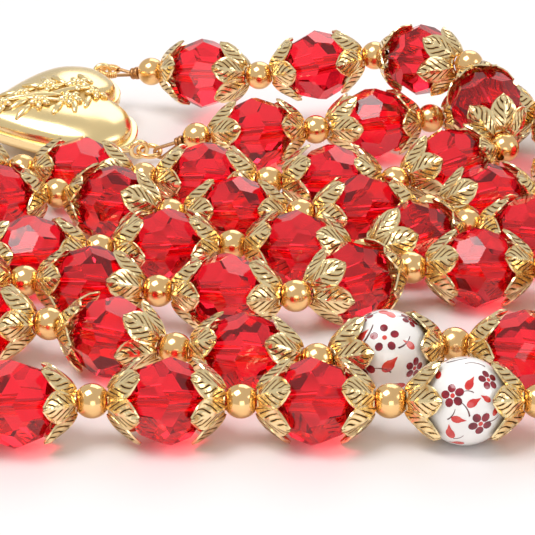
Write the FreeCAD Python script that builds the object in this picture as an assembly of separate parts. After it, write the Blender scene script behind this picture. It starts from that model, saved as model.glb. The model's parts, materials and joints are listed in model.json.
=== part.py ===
"""Rosary laid out in folded rows: strung crystals, leaf caps, spacers, heart and cross."""
import FreeCAD
import Part

import math
import os

Vec = FreeCAD.Vector

# ---- driving dimensions, millimetres ----
CRYSTAL_DIA = 10.0          # across the corners of the middle facets
CRYSTAL_LENGTH = 8.8        # along the hole
CRYSTAL_BORE = 1.2
PORCELAIN_DIA = 10.0
SPACER_DIA = 4.0
SPACER_BORE = 1.4
STRAIGHT_ENOUGH = -0.97     # cosine between a spacer's two sides that one hole can serve
MITRE = 0.5                 # how far the two holes of a bent spacer cross
CAP_REACH = 6.6             # bead centre to the outer face of the cap's base ring
CAP_NEST = 0.25             # how far a spacer sits into the base ring
CAP_HOLE = 2.1
CAP_RING_DIA = 3.2
CAP_LEAVES = 6
WIRE_DIA = 0.5
BEND_ROOM = 0.4             # how far the wire may cut a corner inside a spacer
TABLE_TO_AXIS = 5.0         # height of the strand's line above the table
PITCH = 2 * CAP_REACH + SPACER_DIA - 2 * CAP_NEST

HEART_RIM = 1.2             # thickness of the flat rim band
HEART_DOME = 2.75           # height of each dome above the rim band
EYELET_RADIUS = 1.15
EYELET_TUBE = 0.35
RING_RADIUS = 1.5
RING_TUBE = 0.35
GUARD_RADIUS = 1.25         # bend radius of the guarded loop
GUARD_TUBE = 0.5
LOOP_RADIUS = 0.75          # bend radius of a bare wire loop
GUARD_BORE = 0.64
TAIL_GAP = 0.52             # the wire's tail lies beside the wire inside the crimp
TAIL_LENGTH = 0.9
CRIMP_DIA = 1.8
CRIMP_BORE = 1.24

CROSS_LENGTH = 40.0
CROSS_SPAN = 26.0
CROSS_BAR = 4.6
CROSS_THICK = 2.0

# ---- lay of the strand: the heading of each bead, degrees from +X ----
UPPER_REACH = [-20, 0, -40, -75, -155]
THIRD_ROW = [-180, -185, -190]
OUTER_LEFT_TURN = [-180, -150, -115, -60, -5, 10]
SIXTH_ROW = [-10, -5, 30, 0]
INNER_RIGHT_TURN = [-45, -120]
SEVENTH_ROW = [-195, -165, -190, -205]
CLOSING_LEFT_TURN = [-185, -165, -115, -35, 20]
FRONT_ROW = [5, 0, 0, 0]
OUTER_RIGHT_TURN = [5, 30, 75, 120, 165]
FIFTH_ROW = [160, 215, 170, 185, 190]
INNER_LEFT_TURN = [110, 20]
FOURTH_ROW = [-25, 0, 5, 20]
UPPER_RIGHT_TURN = [60, 110]
HEART_RETURN = [190, 195, 190]
LOOP_HEADINGS = (UPPER_REACH + THIRD_ROW + OUTER_LEFT_TURN + SIXTH_ROW + INNER_RIGHT_TURN
                 + SEVENTH_ROW + CLOSING_LEFT_TURN + FRONT_ROW + OUTER_RIGHT_TURN
                 + FIFTH_ROW + INNER_LEFT_TURN + FOURTH_ROW + UPPER_RIGHT_TURN
                 + HEART_RETURN)
LOOP_START = Vec(-16.8, 66.3, 0)
LOOP_LIFTS = [6.5, 8.0, 11.0, 13.5, 7.0]      # the strand climbs over itself here
DROP_HEADINGS = [188, 215, 262, 270, 275]
PORCELAIN_UNITS = (10, 21, 32, 43)
DROP_PORCELAIN_UNITS = (0, 4)

HEART_HEADING = 196.0       # direction of the heart's tip
HEART_TILT = 9.0            # how far the face leans towards the front rows
HEART_CENTRE = Vec(-25.8, 55.5, 4.16)
CENTRING = Vec(13.6, -3.75, 0.0)    # puts the middle of the rosary at the origin


# ---- small geometry helpers ----
def unit(vector):
    """Return the vector scaled to length one."""
    return vector * (1.0 / vector.Length)


def flat(heading):
    """Return the level direction of a heading in degrees."""
    angle = math.radians(heading)
    return Vec(math.cos(angle), math.sin(angle), 0)


def walk(start, headings, lifts):
    """Return the spacer centres of a strand walked one bead at a time."""
    heights = lifts + [TABLE_TO_AXIS] * (len(headings) + 1 - len(lifts))
    points = [Vec(start.x, start.y, heights[0])]
    for heading, height in zip(headings, heights[1:]):
        rise = height - points[-1].z
        run = math.sqrt(PITCH ** 2 - rise ** 2)
        points.append(points[-1] + flat(heading) * run + Vec(0, 0, rise))
    return points


def bead_placement(start, end, roll):
    """Return the placement that lays a bead's X axis along a run."""
    direction = unit(end - start)
    heading = math.degrees(math.atan2(direction.y, direction.x))
    pitch = math.degrees(math.asin(direction.z))
    turn = FreeCAD.Rotation(Vec(0, 0, 1), heading)
    turn = turn.multiply(FreeCAD.Rotation(Vec(0, 1, 0), -pitch))
    turn = turn.multiply(FreeCAD.Rotation(Vec(1, 0, 0), roll))
    return FreeCAD.Placement((start + end) * 0.5, turn)


def placed(shape, placement):
    """Return a copy of the shape at a placement."""
    copy = shape.copy()
    copy.Placement = placement.multiply(copy.Placement)
    return copy


def rod(start, end, radius):
    """Return a round rod between two points."""
    return Part.makeCylinder(radius, (end - start).Length, start, end - start)


def ring(centre, axis, radius, tube):
    """Return a closed round ring."""
    return Part.makeTorus(radius, tube, centre, axis)


def bent_tube(centre, start, axis, degrees, tube):
    """Return a round tube bent about a centre from a start point."""
    tangent = axis.cross(start - centre)
    profile = Part.Face(Part.Wire(Part.makeCircle(tube, start, tangent)))
    return profile.revolve(centre, axis, degrees)


# ---- beads ----
def facet_cut(shape, latitude, azimuth, distance):
    """Cut one flat facet off a shape whose axis is X."""
    block = Part.makeBox(16, 16, 8, Vec(-8, -8, 0))
    lat = math.radians(latitude)
    azi = math.radians(azimuth)
    normal = Vec(math.sin(lat), math.cos(lat) * math.cos(azi), math.cos(lat) * math.sin(azi))
    turn = FreeCAD.Rotation(Vec(0, 0, 1), normal)
    block.Placement = FreeCAD.Placement(normal * distance, turn)
    return shape.cut(block)


def crystal():
    """Return a facetted crystal bead about the origin, hole along X."""
    half = CRYSTAL_LENGTH / 2
    apothem = CRYSTAL_DIA / 2 * math.cos(math.radians(18))
    body = Part.makeCylinder(7, CRYSTAL_LENGTH, Vec(-half, 0, 0), Vec(1, 0, 0))
    for step in range(10):
        body = facet_cut(body, 0, 36 * step, apothem)
        for side in (-1, 1):
            body = facet_cut(body, side * 29, 36 * step + 18, apothem - 0.05)
            body = facet_cut(body, side * 56, 36 * step, apothem - 0.15)
    bore = Part.makeCylinder(CRYSTAL_BORE / 2, 12, Vec(-6, 0, 0), Vec(1, 0, 0))
    return body.cut(bore)


def drilled_ball(radius, bore):
    """Return a ball about the origin with a straight round hole along X."""
    reach = math.sqrt(radius ** 2 - bore ** 2)
    outer = Part.Arc(Vec(-reach, 0, bore), Vec(0, 0, radius), Vec(reach, 0, bore)).toShape()
    inner = Part.makeLine(Vec(reach, 0, bore), Vec(-reach, 0, bore))
    profile = Part.Face(Part.Wire([outer, inner]))
    return profile.revolve(Vec(0, 0, 0), Vec(1, 0, 0), 360)


def leaf_blade():
    """Return the leaf outline as a block cutting through the cap's bell."""
    middle = Vec(4.7, 0, 3.1)
    along = unit(Vec(-3.4, 0, 3.1))
    across = Vec(0, 1, 0)
    out = unit(Vec(3.1, 0, 3.4))

    def at(length, width):
        return middle + along * length + across * width - out * 1.5

    right = Part.Arc(at(-2.7, 0.55), at(0.2, 1.6), at(2.5, 0.0)).toShape()
    left = Part.Arc(at(2.5, 0.0), at(0.2, -1.6), at(-2.7, -0.55)).toShape()
    root = Part.makeLine(at(-2.7, -0.55), at(-2.7, 0.55))
    return Part.Face(Part.Wire([right, left, root])).extrude(out * 3.0)


def leaf_cap():
    """Return a bead cap of six leaves on the +X side of a bead at the origin."""
    inner = Part.Arc(Vec(6.2, 0, 1.25), Vec(4.85, 0, 3.02), Vec(2.7, 0, 4.45)).toShape()
    outer = Part.Arc(Vec(2.85, 0, 4.72), Vec(5.08, 0, 3.24), Vec(6.4, 0, 1.55)).toShape()
    tip = Part.makeLine(Vec(2.7, 0, 4.45), Vec(2.85, 0, 4.72))
    foot = Part.makeLine(Vec(6.4, 0, 1.55), Vec(6.2, 0, 1.25))
    profile = Part.Face(Part.Wire([inner, tip, outer, foot]))
    bell = profile.revolve(Vec(0, 0, 0), Vec(1, 0, 0), 360)
    leaf = bell.common(leaf_blade())
    base = Part.makeCylinder(CAP_RING_DIA / 2, 0.6, Vec(CAP_REACH - 0.6, 0, 0), Vec(1, 0, 0))
    leaves = []
    for index in range(CAP_LEAVES):
        turned = leaf.copy()
        turned.rotate(Vec(0, 0, 0), Vec(1, 0, 0), index * 360.0 / CAP_LEAVES)
        leaves.append(turned)
    cap = base.multiFuse(leaves)
    hole = Part.makeCylinder(CAP_HOLE / 2, 4, Vec(4, 0, 0), Vec(1, 0, 0))
    return cap.cut(hole)


def cap_pair(cap):
    """Return the two caps of one bead."""
    other = cap.copy()
    other.rotate(Vec(0, 0, 0), Vec(0, 0, 1), 180)
    return [cap, other]


def spacer(before, centre, after):
    """Return a round spacer drilled for the wire passing through it."""
    back = unit(before - centre)
    ahead = unit(after - centre)
    if back.dot(ahead) < STRAIGHT_ENOUGH:
        ball = drilled_ball(SPACER_DIA / 2, SPACER_BORE / 2)
        return placed(ball, bead_placement(centre + back, centre + ahead, 0))
    ball = Part.makeSphere(SPACER_DIA / 2)
    pole = unit(back.cross(ahead))
    seam = unit(back + ahead) * -1
    turn = FreeCAD.Rotation(seam, pole.cross(seam), pole, "ZXY")
    ball.Placement = FreeCAD.Placement(centre, turn)
    for leg in (back, ahead):
        ball = ball.cut(rod(centre - leg * MITRE, centre + leg * SPACER_DIA, SPACER_BORE / 2))
    return ball


# ---- wire ----
def corner(before, point, after, limit):
    """Return the tangent arc that rounds one corner of the wire, or None if straight."""
    back = unit(before - point)
    ahead = unit(after - point)
    half = (math.pi - back.getAngle(ahead)) / 2
    if half < 0.004:
        return None
    reach = min(limit, BEND_ROOM * math.sin(half) / (1 - math.cos(half)))
    bend = reach / math.tan(half)
    toward = unit(back + ahead)
    middle = point + toward * (bend / math.cos(half) - bend)
    return point + back * reach, middle, point + ahead * reach


def strand_edges(points, start, end):
    """Return the wire's edges past every spacer, from one loop's neck to the other's."""
    edges = []
    here = start
    for before, point, after in zip(points, points[1:], points[2:]):
        arc = corner(before, point, after, 4.0 if before is not points[0] else 1.5)
        if arc is None:
            continue
        edges.append(Part.makeLine(here, arc[0]))
        edges.append(Part.Arc(*arc).toShape())
        here = arc[2]
    edges.append(Part.makeLine(here, end))
    return edges


def touch_point(centre, point, axis, radius, side):
    """Return where a line from a point touches a circle."""
    out = point - centre
    angle = math.degrees(math.acos(radius / out.Length))
    return centre + rotated(unit(out), axis, side * angle) * radius


def loop_edges(loop, bead):
    """Return the edges of a wire end: tail, loop and neck, and the neck's last point."""
    toward = unit(loop.apex - loop.centre)
    side = unit(loop.normal.cross(toward))
    tail_apex = loop.apex + side * TAIL_GAP
    tail_end = tail_apex + unit(bead - loop.apex) * TAIL_LENGTH
    tail_touch = touch_point(loop.centre, tail_apex, loop.normal, loop.radius, 1)
    neck_touch = touch_point(loop.centre, loop.apex, loop.normal, loop.radius, -1)
    tail_arc = corner(tail_end, tail_apex, tail_touch, 0.5)
    neck_arc = corner(neck_touch, loop.apex, bead, 0.5)
    far = loop.centre - toward * loop.radius
    edges = [Part.makeLine(tail_end, tail_arc[0]), Part.Arc(*tail_arc).toShape(),
             Part.makeLine(tail_arc[2], tail_touch),
             Part.Arc(tail_touch, far, neck_touch).toShape(),
             Part.makeLine(neck_touch, neck_arc[0]), Part.Arc(*neck_arc).toShape()]
    return edges, neck_arc[2]


def strung_wire(first, points, last):
    """Return a wire with a loop at each end, strung through the given points."""
    head, start = loop_edges(first, points[0])
    foot, end = loop_edges(last, points[-1])
    middle = strand_edges([first.apex] + points + [last.apex], start, end)
    path = Part.Wire(Part.__sortEdges__(head + middle + foot))
    circle = Part.makeCircle(WIRE_DIA / 2, head[0].valueAt(head[0].FirstParameter),
                             head[0].tangentAt(head[0].FirstParameter))
    wire = path.makePipeShell([Part.Wire(circle)], True, False)
    if wire.Volume < 0:
        wire.reverse()
    return wire


class Loop:
    """A drop-shaped loop at the end of a wire."""

    def __init__(self, centre, bead, normal, radius, reach):
        """Lay the loop in the plane of its normal with its neck towards the bead."""
        self.centre = centre
        self.normal = unit(normal)
        self.radius = radius
        level = bead - centre
        level = unit(level - self.normal * level.dot(self.normal))
        self.apex = centre + level * reach
        self.side = unit(self.normal.cross(level))


def rotated(vector, axis, degrees):
    """Return the vector turned about an axis."""
    return FreeCAD.Rotation(axis, degrees).multVec(vector)


def crimp(start, end):
    """Return a crimp tube pressed into two ribbed segments."""
    direction = unit(end - start)
    body = rod(start, end, CRIMP_DIA / 2)
    body = body.cut(ring((start + end) * 0.5, direction, CRIMP_DIA / 2 + 0.1, 0.25))
    return body.cut(rod(start - direction, end + direction, CRIMP_BORE / 2))


# ---- heart ----
def heart_axes():
    """Return the heart's directions: to the upper lobe, to the tip and out of its face."""
    tip = flat(HEART_HEADING)
    level = flat(HEART_HEADING - 90)
    tilt = math.radians(HEART_TILT)
    across = level * math.cos(tilt) + Vec(0, 0, math.sin(tilt))
    return across, tip, across.cross(tip)


def heart_placement():
    """Return the placement that takes the flat-drawn heart to its place."""
    across, tip, face = heart_axes()
    matrix = FreeCAD.Matrix(across.x, tip.x, face.x, HEART_CENTRE.x,
                            across.y, tip.y, face.y, HEART_CENTRE.y,
                            across.z, tip.z, face.z, HEART_CENTRE.z,
                            0, 0, 0, 1)
    return FreeCAD.Placement(matrix)


def heart_point(x, y, z=0.0):
    """Return a point of the heart's own frame in the rosary's frame."""
    across, tip, face = heart_axes()
    return HEART_CENTRE + across * x + tip * y + face * z


def heart_wire(scale, height):
    """Return the heart outline scaled towards its middle at a height."""
    half = [(0, -3.0), (2.2, -5.4), (5.8, -6.2), (10.2, -4.4), (12.0, 0.0),
            (10.9, 4.3), (7.6, 9.3), (3.5, 13.8), (0, 16.6)]
    middle = 3.4

    def at(x, y, side):
        return Vec(side * x * scale, middle + (y - middle) * scale, height)

    edges = []
    for side in (1, -1):
        curve = Part.BSplineCurve()
        curve.interpolate([at(x, y, side) for x, y in half])
        edges.append(curve.toShape())
    return Part.Wire(edges)


def heart_dome(side):
    """Return one puffed half of the heart above (1) or below (-1) the rim band."""
    base = HEART_RIM / 2
    levels = [(0.93, 0.0), (0.90, 0.30), (0.82, 0.60), (0.68, 0.83), (0.45, 0.96), (0.2, 1.0)]
    wires = [heart_wire(scale, side * (base + HEART_DOME * rise)) for scale, rise in levels]
    return Part.makeLoft(wires, True, False)


def eyelet_points():
    """Return the centres of the upper, lower and tip eyelets in the heart's frame."""
    return [Vec(11.3, -5.1, 0), Vec(-11.3, -5.1, 0), Vec(0, 17.5, 0)]


def heart_back():
    """Return the back of the heart: rim band, back dome and three eyelets."""
    band = Part.Face(heart_wire(1.0, -HEART_RIM / 2)).extrude(Vec(0, 0, HEART_RIM))
    eyes = [ring(point, Vec(1, 0, 0), EYELET_RADIUS, EYELET_TUBE) for point in eyelet_points()]
    lugs = [rod(Vec(side * 10.4, -1.8, 0), Vec(side * 11.3, -4.0, 0), 0.5) for side in (-1, 1)]
    return band.multiFuse([heart_dome(-1)] + eyes + lugs)


def squashed_ball(centre, sizes, turn):
    """Return a ball stretched to three half sizes and turned about Z."""
    matrix = FreeCAD.Matrix()
    matrix.scale(sizes[0], sizes[1], sizes[2])
    ball = Part.makeSphere(1.0).transformGeometry(matrix)
    ball.rotate(Vec(0, 0, 0), Vec(0, 0, 1), turn)
    ball.translate(centre)
    return ball


def heart_relief(front):
    """Return the raised spray of blossoms and leaves on the heart's face."""
    top = HEART_RIM / 2 + HEART_DOME - 0.3
    pieces = [squashed_ball(Vec(0, 4.2, top), (0.5, 6.6, 0.8), 0)]
    for y in (-0.8, 4.0, 8.6):
        pieces.append(squashed_ball(Vec(0, y, top), (1.5, 1.5, 1.1), 0))
    for y in (1.6, 6.4, 10.6):
        for side in (-1, 1):
            centre = Vec(side * 1.7, y, top - 0.15)
            pieces.append(squashed_ball(centre, (0.75, 1.9, 0.7), side * 40))
    return pieces[0].multiFuse(pieces[1:]).cut(front)


# ---- cross ----
def cross_arms(width, length_in, span_in, low, high):
    """Return the two crossed bars of the cross between two heights."""
    thick = high - low
    upright = Part.makeBox(width, CROSS_LENGTH - 2 * length_in, thick,
                           Vec(-width / 2, -CROSS_LENGTH + length_in, low))
    arm = Part.makeBox(CROSS_SPAN - 2 * span_in, width, thick,
                       Vec(-CROSS_SPAN / 2 + span_in, -13.0 - width / 2, low))
    return upright.fuse(arm)


def cross_body():
    """Return the cross with three-lobed ends, its eyelet centre at the origin."""
    down = Vec(0, -0.85, 0)
    body = cross_arms(CROSS_BAR, 2.0, 2.0, 0, CROSS_THICK)
    ends = [(Vec(0, -2.6, 0), Vec(0, 1, 0)), (Vec(0, -CROSS_LENGTH + 2.6, 0), Vec(0, -1, 0)),
            (Vec(-CROSS_SPAN / 2 + 2.6, -13, 0), Vec(-1, 0, 0)),
            (Vec(CROSS_SPAN / 2 - 2.6, -13, 0), Vec(1, 0, 0))]
    lobes = []
    for centre, out in ends:
        side = Vec(-out.y, out.x, 0)
        for shift in (out * 0.7, side * 1.9 - out * 0.6, side * -1.9 - out * 0.6):
            lobes.append(Part.makeCylinder(1.9, CROSS_THICK, centre + shift))
    body = body.multiFuse(lobes)
    body.translate(down)
    eye = ring(Vec(0, 0, 1.5), Vec(1, 0, 0), EYELET_RADIUS, EYELET_TUBE)
    return body.fuse(eye)


def cross_relief():
    """Return the raised lines and boss on the face of the cross."""
    lines = cross_arms(1.8, 4.2, 4.2, CROSS_THICK, CROSS_THICK + 0.7)
    boss = Part.makeCylinder(2.9, 0.9, Vec(0, -13, CROSS_THICK))
    relief = lines.fuse(boss)
    relief.translate(Vec(0, -0.85, 0))
    return relief


# ---- where the strands end ----
class Lay:
    """Points shared by the strands, rings, heart and cross."""

    def __init__(self):
        self.loop = walk(LOOP_START, LOOP_HEADINGS, LOOP_LIFTS)
        across, tip, face = heart_axes()
        self.face = face
        self.across = across
        eyes = [heart_point(p.x, p.y) for p in eyelet_points()]
        self.upper_eye, self.lower_eye, self.tip_eye = eyes
        upper = self.upper_eye - tip * EYELET_RADIUS
        self.upper = Loop(upper, self.loop[0], face, GUARD_RADIUS, 3.2)
        self.ring_dir = unit(flat_part(self.loop[-1] - self.lower_eye))
        self.ring_dir = unit(self.ring_dir - face * self.ring_dir.dot(face))
        self.lower_ring = self.lower_eye + self.ring_dir * RING_RADIUS
        lower = self.lower_eye + self.ring_dir * (2 * RING_RADIUS)
        upright = self.ring_dir.cross(face)
        self.lower = Loop(lower, self.loop[-1], upright, LOOP_RADIUS, 2.9)
        self.drop_dir = flat(190)
        self.drop_ring = self.tip_eye + self.drop_dir * RING_RADIUS
        top = self.tip_eye + self.drop_dir * (2 * RING_RADIUS)
        self.drop = walk(top + self.drop_dir * 6.4, DROP_HEADINGS, [])
        drop_side = self.drop_dir.cross(Vec(0, 0, 1))
        self.drop_top = Loop(top, self.drop[0], drop_side, LOOP_RADIUS, 2.9)
        end = self.drop[-1] + Vec(0, -5.6, 1.5 - TABLE_TO_AXIS)
        self.drop_end = Loop(end, self.drop[-1], Vec(1, 0, 0), LOOP_RADIUS, 2.9)
        self.cross_ring = end + Vec(0, -RING_RADIUS, 0)
        self.cross_eye = end + Vec(0, -2 * RING_RADIUS, 0)


def flat_part(vector):
    """Return the level part of a vector."""
    return Vec(vector.x, vector.y, 0)


def runs(points):
    """Return the (start, end) pairs of a strand's beads."""
    return list(zip(points, points[1:]))


def decade_units(decade):
    """Return the loop units of the crystals of a decade, 1 to 5."""
    first = 11 * (decade - 1)
    return range(first, first + 10)


def roll_of(index):
    """Return how far a bead has turned on the wire, degrees."""
    return (index * 23) % 36 + 4


# ---- nodes ----
def crystal_nodes(lay):
    """Return the crystal nodes: ten single beads, then one node per decade."""
    stone = crystal()
    beads = runs(lay.loop)
    nodes = {}
    for unit_index in decade_units(1):
        start, end = beads[unit_index]
        name = "crystal_%02d" % (unit_index + 1)
        nodes[name] = placed(stone, bead_placement(start, end, roll_of(unit_index)))
    for decade in range(2, 6):
        group = []
        for index in decade_units(decade):
            start, end = beads[index]
            group.append(placed(stone, bead_placement(start, end, roll_of(index))))
        nodes["crystals_decade_%d" % decade] = Part.makeCompound(group)
    drop_beads = runs(lay.drop)
    for number, index in enumerate((1, 2, 3), start=1):
        start, end = drop_beads[index]
        name = "drop_crystal_%d" % number
        nodes[name] = placed(stone, bead_placement(start, end, roll_of(index)))
    return nodes


def porcelain_nodes(lay):
    """Return the six porcelain beads."""
    bead = drilled_ball(PORCELAIN_DIA / 2, CRYSTAL_BORE / 2)
    nodes = {}
    places = [runs(lay.loop)[index] for index in PORCELAIN_UNITS]
    places += [runs(lay.drop)[index] for index in DROP_PORCELAIN_UNITS]
    for number, (start, end) in enumerate(places, start=1):
        nodes["porcelain_bead_%d" % number] = placed(bead, bead_placement(start, end, 0))
    return nodes


def capped(cap, beads, indices):
    """Return the caps of the chosen beads as separate solids."""
    shapes = []
    for index in indices:
        start, end = beads[index]
        place = bead_placement(start, end, (index * 17) % 60)
        shapes += [placed(one, place) for one in cap_pair(cap)]
    return Part.makeCompound(shapes)


def cap_nodes(lay):
    """Return the cap nodes, one per decade, one for the porcelain and one for the drop."""
    cap = leaf_cap()
    beads = runs(lay.loop)
    nodes = {}
    for decade in range(1, 6):
        nodes["leaf_caps_decade_%d" % decade] = capped(cap, beads, decade_units(decade))
    nodes["porcelain_leaf_caps"] = capped(cap, beads, PORCELAIN_UNITS)
    nodes["drop_leaf_caps"] = capped(cap, runs(lay.drop), range(5))
    return nodes


def drilled(points, chosen):
    """Return the spacers at the chosen points of a padded list of wire points."""
    shapes = []
    for index in chosen:
        shapes.append(spacer(points[index], points[index + 1], points[index + 2]))
    return Part.makeCompound(shapes)


def spacer_nodes(lay):
    """Return the spacer nodes, one per decade and one for the drop."""
    loop = [lay.upper.apex] + lay.loop + [lay.lower.apex]
    drop = [lay.drop_top.apex] + lay.drop + [lay.drop_end.apex]
    nodes = {}
    for decade in range(1, 6):
        first = 11 * (decade - 1)
        nodes["spacers_decade_%d" % decade] = drilled(loop, range(first, first + 11))
    nodes["drop_spacers"] = drilled(drop, range(6))
    return nodes


def wire_nodes(lay):
    """Return the two stringing wires with their end loops."""
    return {"loop_wire": strung_wire(lay.upper, lay.loop, lay.lower),
            "drop_wire": strung_wire(lay.drop_top, lay.drop, lay.drop_end)}


def crimp_on(loop, bead):
    """Return the crimp that holds a loop's wire and tail next to a spacer."""
    inward = unit(bead - loop.apex)
    shift = loop.side * (TAIL_GAP / 2)
    start = loop.apex + inward * 0.1 + shift
    end = bead - inward * (SPACER_DIA / 2 + 0.1) + shift
    return crimp(start, end)


def fitting_nodes(lay):
    """Return the guard, crimps and rings."""
    guard = guard_arc(lay, GUARD_TUBE).cut(guard_arc(lay, GUARD_BORE / 2))
    nodes = {"upper_wire_guard": guard}
    nodes["upper_crimp"] = crimp_on(lay.upper, lay.loop[0])
    nodes["lower_crimp"] = crimp_on(lay.lower, lay.loop[-1])
    nodes["drop_upper_crimp"] = crimp_on(lay.drop_top, lay.drop[0])
    nodes["drop_lower_crimp"] = crimp_on(lay.drop_end, lay.drop[-1])
    nodes["lower_jump_ring"] = ring(lay.lower_ring, lay.face, RING_RADIUS, RING_TUBE)
    nodes["drop_jump_ring"] = ring(lay.drop_ring, Vec(0, 0, 1), RING_RADIUS, RING_TUBE)
    nodes["cross_jump_ring"] = ring(lay.cross_ring, Vec(0, 0, 1), RING_RADIUS, RING_TUBE)
    return nodes


def guard_arc(lay, tube):
    """Return the bent part of the wire guard as a solid of one tube radius."""
    away = unit(lay.upper.apex - lay.upper.centre)
    start = rotated(away, lay.face, 78) * GUARD_RADIUS + lay.upper.centre
    return bent_tube(lay.upper.centre, start, lay.face, 204, tube)


def heart_nodes():
    """Return the three pieces of the heart centre."""
    place = heart_placement()
    front = heart_dome(1)
    return {"heart_back": placed(heart_back(), place),
            "heart_front": placed(front, place),
            "heart_relief": placed(heart_relief(front), place)}


def cross_nodes(lay):
    """Return the cross and its raised lines, lying flat on the table."""
    spot = Vec(lay.cross_eye.x, lay.cross_eye.y, 0)
    body = cross_body()
    relief = cross_relief()
    body.translate(spot)
    relief.translate(spot)
    return {"cross_body": body, "cross_relief": relief}


def rosary():
    """Return every node of the rosary by name."""
    lay = Lay()
    nodes = {}
    nodes.update(wire_nodes(lay))
    nodes.update(fitting_nodes(lay))
    nodes.update(heart_nodes())
    nodes.update(cross_nodes(lay))
    nodes.update(crystal_nodes(lay))
    nodes.update(porcelain_nodes(lay))
    nodes.update(cap_nodes(lay))
    nodes.update(spacer_nodes(lay))
    for shape in nodes.values():
        shape.translate(CENTRING)
    return nodes


def main():
    """Build and export every node."""
    os.makedirs("parts", exist_ok=True)
    for name, shape in rosary().items():
        shape.exportStep("parts/%s.step" % name)
        print(name, len(shape.Solids), "solids", round(shape.Volume, 2), "mm3")


if __name__ == "__main__":
    main()
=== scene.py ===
"""Looks of the rosary: leaf caps, cut crystals, painted porcelain, heart centre and cross."""
import json
import logging
import math
from dataclasses import dataclass, field
from enum import Enum
from typing import Callable, Iterable

import bpy
from mathutils import Matrix, Vector


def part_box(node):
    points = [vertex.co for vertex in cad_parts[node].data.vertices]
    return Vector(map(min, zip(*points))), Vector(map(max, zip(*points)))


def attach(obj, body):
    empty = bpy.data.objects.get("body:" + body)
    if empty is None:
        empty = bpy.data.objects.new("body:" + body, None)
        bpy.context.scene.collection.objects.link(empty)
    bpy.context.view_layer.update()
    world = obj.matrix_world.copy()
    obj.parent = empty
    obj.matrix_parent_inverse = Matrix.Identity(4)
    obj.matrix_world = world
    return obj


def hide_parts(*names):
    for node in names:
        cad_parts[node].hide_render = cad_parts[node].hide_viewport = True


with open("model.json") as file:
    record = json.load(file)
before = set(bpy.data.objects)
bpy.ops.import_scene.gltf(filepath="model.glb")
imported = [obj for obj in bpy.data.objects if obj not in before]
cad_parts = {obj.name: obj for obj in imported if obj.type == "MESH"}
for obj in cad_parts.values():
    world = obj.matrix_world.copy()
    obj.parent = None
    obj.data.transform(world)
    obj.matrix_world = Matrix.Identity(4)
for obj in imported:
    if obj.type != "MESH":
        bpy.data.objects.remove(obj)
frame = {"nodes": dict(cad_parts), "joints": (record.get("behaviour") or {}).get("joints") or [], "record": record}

LOG = logging.getLogger("rosary")
MM = 0.001
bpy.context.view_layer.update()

# ---- sizes shared with the strand, millimetres ----
CAP_REACH = 6.6
SPACER_RADIUS = 2.0
CAP_NEST = 0.25
PITCH = 2 * CAP_REACH + 2 * SPACER_RADIUS - 2 * CAP_NEST
TABLE_TO_AXIS = 5.0
CENTRING = Vector((13.6, -3.75, 0.0))


@dataclass(frozen=True)
class Route:
    """The lay of one strand: a start, a heading per bead in degrees, and its first heights."""

    start: Vector
    headings: tuple[int, ...]
    lifts: tuple[float, ...] = ()

    def spacers(self) -> list[Vector]:
        """Return the spacer centres along the strand, in millimetres."""
        heights = list(self.lifts)
        heights += [TABLE_TO_AXIS] * (len(self.headings) + 1 - len(heights))
        points = [Vector((self.start.x, self.start.y, heights[0]))]
        for heading, height in zip(self.headings, heights[1:]):
            rise = height - points[-1].z
            run = math.sqrt(PITCH ** 2 - rise ** 2)
            angle = math.radians(heading)
            step = Vector((run * math.cos(angle), run * math.sin(angle), rise))
            points.append(points[-1] + step)
        return points

    def beads(self) -> list[Matrix]:
        """Return the placement of every bead, its hole along X, in millimetres."""
        points = self.spacers()
        places = []
        for start, end in zip(points, points[1:]):
            way = (end - start).normalized()
            turn = Matrix.Rotation(math.atan2(way.y, way.x), 4, "Z")
            tilt = Matrix.Rotation(-math.asin(way.z), 4, "Y")
            middle = (start + end) / 2 + CENTRING
            places.append(Matrix.Translation(middle) @ turn @ tilt)
        return places


UPPER_REACH = (-20, 0, -40, -75, -155)
THIRD_ROW = (-180, -185, -190)
OUTER_LEFT_TURN = (-180, -150, -115, -60, -5, 10)
SIXTH_ROW = (-10, -5, 30, 0)
INNER_RIGHT_TURN = (-45, -120)
SEVENTH_ROW = (-195, -165, -190, -205)
CLOSING_LEFT_TURN = (-185, -165, -115, -35, 20)
FRONT_ROW = (5, 0, 0, 0)
OUTER_RIGHT_TURN = (5, 30, 75, 120, 165)
FIFTH_ROW = (160, 215, 170, 185, 190)
INNER_LEFT_TURN = (110, 20)
FOURTH_ROW = (-25, 0, 5, 20)
UPPER_RIGHT_TURN = (60, 110)
HEART_RETURN = (190, 195, 190)
LOOP_ROUTE = Route(
    start=Vector((-16.8, 66.3, 0)),
    headings=(UPPER_REACH + THIRD_ROW + OUTER_LEFT_TURN + SIXTH_ROW + INNER_RIGHT_TURN
              + SEVENTH_ROW + CLOSING_LEFT_TURN + FRONT_ROW + OUTER_RIGHT_TURN + FIFTH_ROW
              + INNER_LEFT_TURN + FOURTH_ROW + UPPER_RIGHT_TURN + HEART_RETURN),
    lifts=(6.5, 8.0, 11.0, 13.5, 7.0),
)
PORCELAIN_UNITS = (10, 21, 32, 43)
DECADES = range(1, 6)
BEADS_IN_DECADE = 10
DROP_HEADINGS = (188, 215, 262, 270, 275)


def decade_units(decade: int) -> range:
    """Return the places of a decade's crystals on the loop, counted from the heart."""
    first = (BEADS_IN_DECADE + 1) * (decade - 1)
    return range(first, first + BEADS_IN_DECADE)


def drop_route() -> Route:
    """Return the lay of the drop, started from where its first bead turns in the CAD."""
    joint = next(j for j in frame["joints"] if j["name"] == "porcelain_bead_5_spin")
    middle = Vector(joint["pos_m"]) / MM - CENTRING
    way = Vector(joint["axis"]).normalized()
    return Route(start=middle - way * PITCH / 2, headings=DROP_HEADINGS)


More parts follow.
